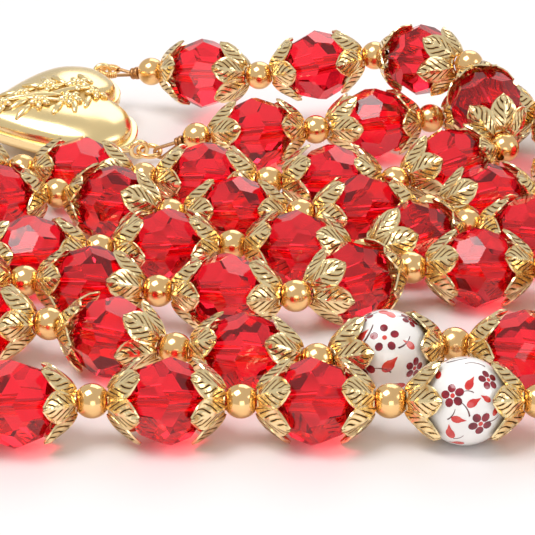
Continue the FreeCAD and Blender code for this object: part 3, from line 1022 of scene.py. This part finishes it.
@dataclass
class PorcelainBead:
    """One glazed porcelain bead with blossoms, leaves and stems painted on it."""

    glaze: bpy.types.Material
    burgundy: bpy.types.Material
    leaf_red: bpy.types.Material
    ink: bpy.types.Material
    radius: float = 5.0
    bore: float = 0.6
    face_height: float = 24.0
    lift: float = 0.015
    eye: float = 0.26

    def disc(self, across: float, along: float, middle: float, corners: int = 10,
             tip: float = 0.0) -> bpy.types.Object:
        """Model one flat brush stroke.

        Args:
            across: Its half width.
            along: Its half length.
            middle: How far along Y its middle lies.
            corners: Corners around it.
            tip: How far its far end is drawn out to a point.

        Returns:
            The stroke, lying on the XY plane.
        """
        clear_selection()
        bpy.ops.mesh.primitive_circle_add(vertices=corners, radius=1, fill_type="TRIFAN")
        stroke = bpy.context.object
        stretch(stroke, everything(stroke), (across, along, 1))
        if tip:
            shift(stroke, where(stroke, lambda co: co.y > along * 0.95), (0, tip, 0))
        shift(stroke, everything(stroke), (0, middle, 0))
        return stroke

    def blossom(self, reach: float, petal: float) -> bpy.types.Object:
        """Model a five-petalled blossom with a paler eye.

        Args:
            reach: How far a petal's middle lies from the eye.
            petal: Half the length of a petal.

        Returns:
            The blossom, lying on the XY plane.
        """
        stroke = self.disc(petal * 0.88, petal, reach)
        dress(stroke, self.burgundy)
        petals = [copy_to(stroke, Matrix.Rotation(math.tau * index / PETALS, 4, "Z"))
                  for index in range(PETALS)]
        discard(stroke)
        eye = self.disc(self.eye, self.eye, 0.0)
        dress(eye, self.leaf_red)
        return join(petals + [eye], "blossom_pattern")

    def leaf(self) -> bpy.types.Object:
        """Model a pointed leaf stroke."""
        stroke = self.disc(0.46, 0.68, 0.0, 12, 0.55)
        pick(stroke, everything(stroke))
        bpy.ops.mesh.subdivide(number_cuts=2)
        leave_edit()
        dress(stroke, self.leaf_red)
        return stroke

    def stem(self) -> bpy.types.Object:
        """Model a thin curved stem stroke."""
        clear_selection()
        bpy.ops.mesh.primitive_grid_add(x_subdivisions=1, y_subdivisions=10, size=2)
        stem = bpy.context.object
        for vertex in stem.data.vertices:
            sway = 0.22 * (1 - vertex.co.y ** 2)
            vertex.co.x = vertex.co.x * 0.055 * (1.3 - 0.5 * vertex.co.y) + sway
        dress(stem, self.ink)
        return stem

    def spot(self, mark: Mark, facing: float) -> Matrix:
        """Return the placement of a mark on the bead's surface.

        Args:
            mark: The painted shape.
            facing: Which way the painted face looks, degrees about Z.

        Returns:
            The placement, its Z axis pointing out of the bead.
        """
        low = math.radians(self.face_height)
        up = Vector((0, math.sin(low), math.cos(low)))
        depth = math.sqrt(max(0.0, 1 - mark.right ** 2 - mark.up ** 2))
        out = Vector((mark.right, 0, 0)) + up * mark.up
        out = (out + Vector((0, -math.cos(low), math.sin(low))) * depth).normalized()
        side = up.cross(out).normalized()
        turn = face_frame(side, out.cross(side), out)
        return (Matrix.Rotation(math.radians(facing), 4, "Z")
                @ Matrix.Translation(out * self.radius) @ turn
                @ Matrix.Rotation(math.radians(mark.turn), 4, "Z")
                @ Matrix.Scale(mark.size, 4))

    def painting(self, marks: tuple[Mark, ...]) -> bpy.types.Object:
        """Paint the marks on the front and again on the back of the bead.

        Args:
            marks: The painted shapes of one face.

        Returns:
            The joined strokes, lying on the bead's surface.
        """
        patterns = {Motif.BLOSSOM: self.blossom(0.84, 0.52),
                    Motif.OPEN_BLOSSOM: self.blossom(1.18, 0.50),
                    Motif.LEAF: self.leaf(), Motif.STEM: self.stem()}
        parts = [copy_to(patterns[mark.motif], self.spot(mark, facing))
                 for facing in (0, 180) for mark in marks]
        for part in parts:
            for vertex in part.data.vertices:
                vertex.co = vertex.co.normalized() * (self.radius + self.lift)
        for pattern in patterns.values():
            discard(pattern)
        return join(parts, "painting_pattern")

    def build(self) -> None:
        """Model the ball and both paintings once and set a bead at each place."""
        ball = drilled_ball(self.radius, self.bore, 56, 40)
        dress(ball, self.glaze)
        sprays = [self.painting(OPEN_SPRAY), self.painting(SPRAY_OF_BLOSSOMS)]
        places = [LOOP_ROUTE.beads()[unit] for unit in PORCELAIN_UNITS]
        places += [drop_route().beads()[unit] for unit in (0, 4)]
        for number, place in enumerate(places, 1):
            spray = sprays[number % 2]
            paint = copy_to(spray, in_metres(Matrix.Translation(place.translation)))
            bead = copy_to(ball, in_metres(place))
            node = f"porcelain_bead_{number}"
            hand_in(join([bead, paint], node + "_painted"), node, "porcelain", node)
        for pattern in [ball] + sprays:
            discard(pattern)


# ---- heart centre ----
WELL_ABOVE = 20.0
LOBE_EYE = (11.3, -5.1)
TIP_EYE = (0.0, 17.5)
EYE_RADIUS = 1.15


@dataclass
class HeartCentre:
    """The puffed heart with its rim band, raised spray, eyelets and a dark skin of painted shade behind the spray,
    in millimetres.
    """

    material: bpy.types.Material
    recess_shade: bpy.types.Material
    heading: float = 196.0
    tilt: float = 9.0
    centre: Vector = field(default_factory=lambda: Vector((-25.8, 55.5, 4.16)))
    half_outline: tuple = ((0, -3.0), (2.2, -5.4), (5.8, -6.2), (10.2, -4.4), (12.0, 0.0),
                           (10.9, 4.3), (7.6, 9.3), (3.5, 13.8), (0, 16.6))
    middle: float = 3.4
    rim: float = 1.2
    rim_round: float = 0.15
    band_scale: float = 0.985
    dome_scale: float = 0.93
    fullness: float = 0.6
    dome: float = 3.05
    back: float = 2.6
    steps: int = 4

    def place(self) -> Matrix:
        """Return the heart's placement in the rosary, in millimetres."""
        tip_way = math.radians(self.heading)
        low = math.radians(self.tilt)
        tip = Vector((math.cos(tip_way), math.sin(tip_way), 0))
        level = Vector((math.sin(tip_way), -math.cos(tip_way), 0))
        across = level * math.cos(low) + Vector((0, 0, math.sin(low)))
        turn = face_frame(across, tip, across.cross(tip))
        return Matrix.Translation(self.centre + CENTRING) @ turn

    def outline(self) -> list[Vector]:
        """Return the heart's outline as a closed smooth run of points."""
        half = [Vector((x, y, 0)) for x, y in self.half_outline]
        side = []
        for index in range(len(half) - 1):
            start, end = half[index], half[index + 1]
            before = half[index - 1] if index else start
            after = half[index + 2] if index + 2 < len(half) else end
            for step in range(self.steps):
                t = step / self.steps
                side.append((start * 2 + (end - before) * t
                             + (before * 2 - start * 5 + end * 4 - after) * t ** 2
                             + (start * 3 - before - end * 3 + after) * t ** 3) / 2)
        other = [Vector((-p.x, p.y, 0)) for p in reversed(side[1:])]
        return side + [half[-1]] + other

    def shell(self) -> bpy.types.Object:
        """Model the puffed heart: rim wall, flat rim band and a dome on each side."""
        outline = self.outline()
        clear_selection()
        bpy.ops.mesh.primitive_circle_add(vertices=len(outline), radius=10)
        heart = bpy.context.object
        for vertex, point in zip(heart.data.vertices, outline):
            vertex.co = point
        pick(heart, everything(heart))
        self.raise_edge(self.rim / 2 - self.rim_round, 1.0)
        self.raise_edge(self.rim_round, self.band_scale)
        scale, height = self.band_scale, 0.0
        for angle in (0, 8, 18, 30, 43, 56, 68, 78, 85):
            wide = self.dome_scale * math.cos(math.radians(angle)) ** self.fullness
            high = self.dome * math.sin(math.radians(angle))
            self.raise_edge(high - height, wide / scale)
            scale, height = wide, high
        bpy.ops.mesh.edge_face_add()
        bpy.ops.mesh.poke()
        leave_edit()
        apply_modifier(heart, "MIRROR", use_axis=(False, False, True))
        pick(heart, where(heart, lambda co: co.z < -self.rim / 2 - 0.01))
        bpy.ops.transform.resize(value=(1, 1, self.back / self.dome),
                                 center_override=(0, 0, -self.rim / 2))
        leave_outwards()
        smooth(heart, 35)
        return heart

    def raise_edge(self, rise: float, scale: float) -> None:
        """Extrude the selected edge loop upwards and draw it in towards the middle.

        Args:
            rise: How far up it goes.
            scale: Its new size as a share of the old.
        """
        bpy.ops.mesh.extrude_region_move(TRANSFORM_OT_translate={"value": (0, 0, rise)})
        bpy.ops.transform.resize(value=(scale, scale, 1), center_override=(0, self.middle, 0))

    def bud(self, sizes: tuple[float, float, float], x: float, y: float, turn: float,
            lift: float) -> bpy.types.Object:
        """Model one raised bud or petal, drawn out towards its tip.

        Args:
            sizes: Half width, half length and height.
            x: Its place across the heart.
            y: Its place along the heart.
            turn: Its turn about the heart's face, in degrees.
            lift: How far its middle lies above the dome.

        Returns:
            The bud in the heart's frame, its heights still measured from the dome.
        """
        clear_selection()
        bpy.ops.mesh.primitive_uv_sphere_add(segments=12, ring_count=8, radius=1)
        bud = bpy.context.object
        shift(bud, where(bud, lambda co: co.y > 0.8), (0, 0.25, 0))
        bud.data.transform(Matrix.Translation((x, y, lift))
                           @ Matrix.Rotation(math.radians(turn), 4, "Z")
                           @ Matrix.Diagonal((sizes[0], sizes[1], sizes[2], 1)))
        return bud

    def bloom(self, x: float, y: float, size: float) -> list[bpy.types.Object]:
        """Model a raised five-petalled bloom.

        Args:
            x: Its place across the heart.
            y: Its place along the heart.
            size: Its size against a bloom of about 2.6 mm.

        Returns:
            The petals and the middle.
        """
        petals = [self.bud((0.42 * size, 0.55 * size, 0.42 * size),
                           x - 0.75 * size * math.sin(math.tau * k / PETALS),
                           y + 0.75 * size * math.cos(math.tau * k / PETALS),
                           360 / PETALS * k, 0.25)
                  for k in range(PETALS)]
        return petals + [self.bud((0.36 * size, 0.36 * size, 0.5 * size), x, y, 0, 0.4)]

    def spray(self, shell: bpy.types.Object) -> bpy.types.Object:
        """Model the raised spray of blooms, leaves and stems along the heart's middle.

        Args:
            shell: The puffed heart it lies on.

        Returns:
            The joined spray.
        """
        parts = [self.bud((0.45, 3.6, 0.55), 0.5, 1.4, 8, 0.15),
                 self.bud((0.45, 4.4, 0.55), -0.3, 7.6, -6, 0.15),
                 self.bud((0.3, 3.0, 0.4), 1.5, 4.2, 24, 0.12),
                 self.bud((0.3, 3.2, 0.4), -1.7, 5.4, -22, 0.12),
                 self.bud((0.3, 2.8, 0.4), 1.2, 9.4, 16, 0.12)]
        for x, y, size in ((-0.8, -1.5, 1.25), (1.7, 0.6, 1.35), (-2.0, 2.6, 1.3),
                           (2.0, 4.9, 1.15), (-1.9, 7.0, 1.15), (0.9, 8.9, 1.0),
                           (-0.6, 11.8, 0.85)):
            parts += self.bloom(x, y, size)
        for x, y, turn in ((3.4, -0.9, -60), (-2.9, 0.3, 65), (3.6, 2.9, -62), (-3.6, 4.7, 52),
                           (3.1, 6.9, -40), (-3.0, 9.4, 34), (2.2, 10.7, -28), (0.2, 14.0, 0),
                           (3.5, 4.8, -80), (-3.7, 2.4, 80), (0.2, 3.6, 12), (0.3, 6.3, -14),
                           (-1.2, 9.6, 20), (0.9, 12.6, -12), (-1.6, 13.0, 22)):
            parts.append(self.bud((0.52, 1.45, 0.42), x, y, turn, 0.10))
        spray = join(parts, "spray")
        self.settle(spray, shell)
        smooth(spray, 60)
        return spray

    def shade_patch(self, shell: bpy.types.Object) -> bpy.types.Object:
        """Model the painted shade of the recess behind the spray as a thin dark skin on the dome.

        Args:
            shell: The puffed heart it lies on.

        Returns:
            The skin.
        """
        clear_selection()
        bpy.ops.mesh.primitive_grid_add(x_subdivisions=12, y_subdivisions=24, size=2)
        patch = bpy.context.object
        for vertex in patch.data.vertices:
            y = vertex.co.y
            half = 2.6 * math.sqrt(max(0.0, 1 - y * y)) * (1.0 - 0.25 * y) + 0.05
            wave = 0.5 * math.sin(9 * y + 2 * vertex.co.x)
            vertex.co = Vector((vertex.co.x * half + wave, 5.8 + 8.2 * y, 0.02))
        self.settle(patch, shell)
        smooth(patch)
        return patch

    def settle(self, piece: bpy.types.Object, shell: bpy.types.Object) -> None:
        """Drop a piece onto the dome, keeping its heights above it.

        Args:
            piece: The piece to drop.
            shell: The puffed heart.
        """
        bpy.context.view_layer.update()
        for vertex in piece.data.vertices:
            above = Vector((vertex.co.x, vertex.co.y, WELL_ABOVE))
            hit, point, _, _ = shell.ray_cast(above, Vector((0, 0, -1)))
            vertex.co.z += point.z if hit else 0.0

    def eyelets(self) -> list[bpy.types.Object]:
        """Model the two lobe eyelets and the tip eyelet with their lugs."""
        rings = []
        across, along = LOBE_EYE
        for x, y, tube in ((across, along, 0.35), (-across, along, 0.35), (*TIP_EYE, 0.25)):
            clear_selection()
            bpy.ops.mesh.primitive_torus_add(major_radius=EYE_RADIUS, minor_radius=tube,
                                             major_segments=32, minor_segments=12,
                                             rotation=(0, math.pi / 2, 0), location=(x, y, 0))
            rings.append(fix_placement())
        for side in (-1, 1):
            lug = self.bud((0.5, 1.3, 0.5), side * 10.85, -2.9, 180 - side * 158, 0)
            rings.append(lug)
        for ring in rings:
            smooth(ring)
        return rings

    def build(self) -> None:
        """Model the heart and hand its pieces in."""
        shell = self.shell()
        spray = self.spray(shell)
        patch = self.shade_patch(shell)
        rings = self.eyelets()
        place = in_metres(self.place())
        # The dark skin is painted shade for the recess behind the spray.
        dress(patch, self.recess_shade)
        for piece in [shell, spray] + rings:
            dress(piece, self.material)
        body = join([shell] + rings, "heart_puffed_shell")
        relief = join([spray, patch], "heart_spray")
        for piece in (body, relief):
            piece.data.transform(place)
        hand_in(body, "heart", "bright_gold", "heart_back", "heart_front")
        hand_in(relief, "heart", "bright_gold", "heart_relief")


# ---- wires, rings and cross, kept to their CAD shapes ----
SAME_PLACE = 0.000002
CROSS_ROUND = 0.25


def smooth_copy(node: str, body: str, material: bpy.types.Material, slot: str,
                bevel: float = 0.0) -> None:
    """Stand a merged, smooth-shaded copy in for a CAD node.

    Args:
        node: The CAD node.
        body: The body it rides on.
        material: Its finish.
        slot: Its material slot.
        bevel: How far its sharp edges are rounded, in millimetres.
    """
    twin = copy_to(frame["nodes"][node], Matrix())
    twin.name = node + "_finished"
    dress(twin, material)
    activate(twin)
    bpy.ops.object.mode_set(mode="EDIT")
    bpy.ops.mesh.select_all(action="SELECT")
    bpy.ops.mesh.remove_doubles(threshold=SAME_PLACE)
    bpy.ops.object.mode_set(mode="OBJECT")
    if bevel:
        apply_modifier(twin, "BEVEL", width=bevel * MM, segments=2, limit_method="ANGLE",
                       angle_limit=math.radians(40))
    smooth(twin, 45)
    hand_in(twin, body, slot, node)


@dataclass
class NeckFittings:
    """The coiled guard of the upper loop and the ribbed crimps, in millimetres."""

    gold: bpy.types.Material
    brown: bpy.types.Material
    heart: Matrix
    loop_radius: float = 1.25
    coils: int = 26
    first_turn: float = 38.0
    whole_turn: float = 284.0
    crimp_round: float = 0.16

    def guard(self) -> None:
        """Wind the guard's coils round the upper loop."""
        clear_selection()
        bpy.ops.mesh.primitive_torus_add(major_radius=0.36, minor_radius=0.14,
                                         major_segments=14, minor_segments=7,
                                         rotation=(math.radians(78), 0, 0))
        coil = fix_placement()
        dress(coil, self.gold)
        smooth(coil)
        face = self.heart.col[2].to_3d().normalized()
        middle = self.heart @ Vector((LOBE_EYE[0], LOBE_EYE[1] - EYE_RADIUS, 0.0))
        strand = LOOP_ROUTE.spacers()[0] + CENTRING - middle
        neck = (strand - face * strand.dot(face)).normalized()
        loop = Matrix.Translation(middle) @ face_frame(neck, face.cross(neck), face)
        places = []
        for index in range(self.coils):
            angle = self.first_turn + self.whole_turn * index / (self.coils - 1)
            places.append(loop @ Matrix.Rotation(math.radians(angle), 4, "Z")
                          @ Matrix.Translation((self.loop_radius, 0, 0)))
        string_up(coil, places, "upper_wire_guard", "_coils", "strand_loop", "bright_gold")
        discard(coil)

    def crimp(self, node: str, body: str, spacer: Vector) -> None:
        """Squeeze a ribbed crimp over the wire, where the CAD has it next to a spacer.

        Args:
            node: The CAD node it stands for.
            body: The body it rides on.
            spacer: The centre of the spacer it rests on.
        """
        low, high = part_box(node)
        middle = (low + high) / 2 / MM
        reach = middle - spacer - CENTRING
        length = 2 * (reach.length - SPACER_RADIUS)
        turn = reach.to_track_quat("Z", "Y").to_matrix().to_4x4()
        segments = []
        for share, radius, span in ((-0.27, 0.92, 0.5), (0.26, 0.84, 0.46)):
            clear_selection()
            bpy.ops.mesh.primitive_cylinder_add(vertices=18, radius=radius,
                                                depth=length * span,
                                                location=(0, 0, length * share))
            segments.append(fix_placement())
            apply_modifier(segments[-1], "BEVEL", width=self.crimp_round, segments=3)
        crimp = join(segments, node + "_ribbed")
        dress(crimp, self.brown)
        crimp.data.transform(in_metres(Matrix.Translation(middle) @ turn))
        smooth(crimp, 50)
        hand_in(crimp, body, "copper_crimp", node)

    def build(self) -> None:
        """Model the guard and the four crimps."""
        self.guard()
        for route, body, upper, lower in (
                (LOOP_ROUTE, "strand_loop", "upper_crimp", "lower_crimp"),
                (drop_route(), "drop", "drop_upper_crimp", "drop_lower_crimp")):
            spacers = route.spacers()
            self.crimp(upper, body, spacers[0])
            self.crimp(lower, body, spacers[-1])


def finish_fittings(finishes: dict[str, bpy.types.Material]) -> None:
    """Dress the wires, rings and cross.

    Args:
        finishes: The material of each slot.
    """
    fittings = (
        ("loop_wire", "strand_loop", "wire"), ("drop_wire", "drop", "wire"),
        ("lower_jump_ring", "strand_loop", "bright_gold"),
        ("drop_jump_ring", "drop", "bright_gold"), ("cross_jump_ring", "drop", "bright_gold"),
        ("cross_relief", "cross", "bright_gold"),
    )
    for node, body, slot in fittings:
        smooth_copy(node, body, finishes[slot], slot)
    smooth_copy("cross_body", "cross", CastGold().make(), "antique_gold", CROSS_ROUND)


def dress_nodes(finishes: dict[str, bpy.types.Material]) -> None:
    """Give every CAD node the material of its slot before any is replaced.

    Args:
        finishes: The material of each slot.
    """
    slots = {s["node"]: s["material_slot"] for s in frame["record"]["subparts"]}
    for name, node in frame["nodes"].items():
        dress(node, finishes[slots[name]])


# ---- studio ----
@dataclass(frozen=True)
class SoftBox:
    """One square light: its place and size in metres and its power in watts."""

    name: str
    place: tuple[float, float, float]
    size: float
    power: float

    def hang(self, aim: Vector) -> None:
        """Hang the light.

        Args:
            aim: What it shines at.
        """
        light = bpy.data.lights.new(self.name, "AREA")
        light.size = self.size
        light.energy = self.power
        lamp = bpy.data.objects.new(self.name, light)
        bpy.context.collection.objects.link(lamp)
        lamp.location = self.place
        lamp.rotation_euler = (aim - lamp.location).to_track_quat("-Z", "Y").to_euler()


SOFT_BOXES = (
    SoftBox("key", (-0.22, -0.10, 0.58), 0.32, 2.1),
    SoftBox("back", (0.15, 0.65, 0.5), 0.5, 1.2),
    SoftBox("right", (0.6, -0.2, 0.35), 0.26, 0.6),
    SoftBox("front", (0.08, -0.62, 0.10), 0.30, 0.45),
)


@dataclass
class Studio:
    """Pale floor, soft light and the camera."""

    table_size: float = 6.0
    table_drop: float = 0.00005
    table_colour: tuple = (0.90, 0.865, 0.865, 1.0)
    room_colour: tuple = (1.0, 0.97, 0.96, 1.0)
    room_strength: float = 0.62
    elevation: float = 24.0
    distance: float = 0.3558
    aim: Vector = field(default_factory=lambda: (CENTRING + Vector((0, 0, TABLE_TO_AXIS))) * MM)
    lens: float = 193.5

    def build(self) -> None:
        """Set up the whole studio."""
        self.floor()
        self.world()
        for box in SOFT_BOXES:
            box.hang(self.aim)
        self.camera()
        bpy.context.scene.view_settings.view_transform = "Standard"

    def floor(self) -> None:
        """Lay a wide pale table."""
        clear_selection()
        bpy.ops.mesh.primitive_plane_add(size=self.table_size,
                                         location=(0, 0, -self.table_drop))
        floor = bpy.context.object
        floor.name = "white_table"
        tree = Tree("white_table")
        tree.set(Roughness=0.5, Base_Color=self.table_colour)
        dress(floor, tree.material)

    def world(self) -> None:
        """Fill the room with an even pale light."""
        world = bpy.data.worlds.new("room")
        bpy.context.scene.world = world
        world.use_nodes = True
        back = world.node_tree.nodes["Background"]
        back.inputs[0].default_value = self.room_colour
        back.inputs[1].default_value = self.room_strength

    def camera(self) -> None:
        """Stand the camera in front, looking down along the rows."""
        low = math.radians(self.elevation)
        away = Vector((0, -math.cos(low), math.sin(low))) * self.distance
        lens = bpy.data.cameras.new("camera")
        lens.lens = self.lens
        lens.clip_start = 0.01
        camera = bpy.data.objects.new("camera", lens)
        bpy.context.collection.objects.link(camera)
        camera.location = self.aim + away
        camera.rotation_euler = (-away).to_track_quat("-Z", "Y").to_euler()
        bpy.context.scene.camera = camera


def main() -> None:
    """Build every sub-assembly in order."""
    logging.basicConfig(level=logging.INFO)
    brown_gold = PolishedGold("brown_gold", colour=(0.68, 0.36, 0.15, 1.0),
                              worn=(0.40, 0.18, 0.07, 1.0), roughness=0.28)
    heart_gold = PolishedGold("heart_gold", colour=(1.0, 0.82, 0.44, 1.0),
                              worn=(0.98, 0.74, 0.36, 1.0), roughness=0.17)
    # A dark gold that paints the shade in the heart's recess behind the spray.
    recess_shade_gold = PolishedGold("recess_shade_gold", colour=(0.26, 0.15, 0.045, 1.0),
                               worn=(0.62, 0.42, 0.15, 1.0), roughness=0.35)
    burgundy = PaintedGlaze("burgundy_paint", colour=(0.15, 0.002, 0.012, 1.0),
                            thin=(0.32, 0.006, 0.022, 1.0))
    leaf_red = PaintedGlaze("leaf_red_paint", colour=(0.62, 0.02, 0.02, 1.0),
                            thin=(0.72, 0.07, 0.05, 1.0))
    ink = PaintedGlaze("stem_ink", colour=(0.09, 0.008, 0.012, 1.0),
                       thin=(0.14, 0.02, 0.02, 1.0))
    finishes = {
        "red_crystal": CutGlass().make(), "porcelain": Glaze().make(),
        "antique_gold": LeafGold().make(), "bright_gold": PolishedGold().make(),
        "wire": StrandWire().make(), "copper_crimp": brown_gold.make(),
    }
    dress_nodes(finishes)
    CrystalSets(finishes["red_crystal"]).build()
    CapSets(finishes["antique_gold"]).build()
    SpacerSets(finishes["bright_gold"]).build()
    PorcelainBead(finishes["porcelain"], burgundy.make(), leaf_red.make(), ink.make()).build()
    heart = HeartCentre(heart_gold.make(), recess_shade_gold.make())
    heart.build()
    NeckFittings(finishes["bright_gold"], finishes["copper_crimp"], heart.place()).build()
    finish_fittings(finishes)
    Studio().build()


if __name__ == "__main__":
    main()
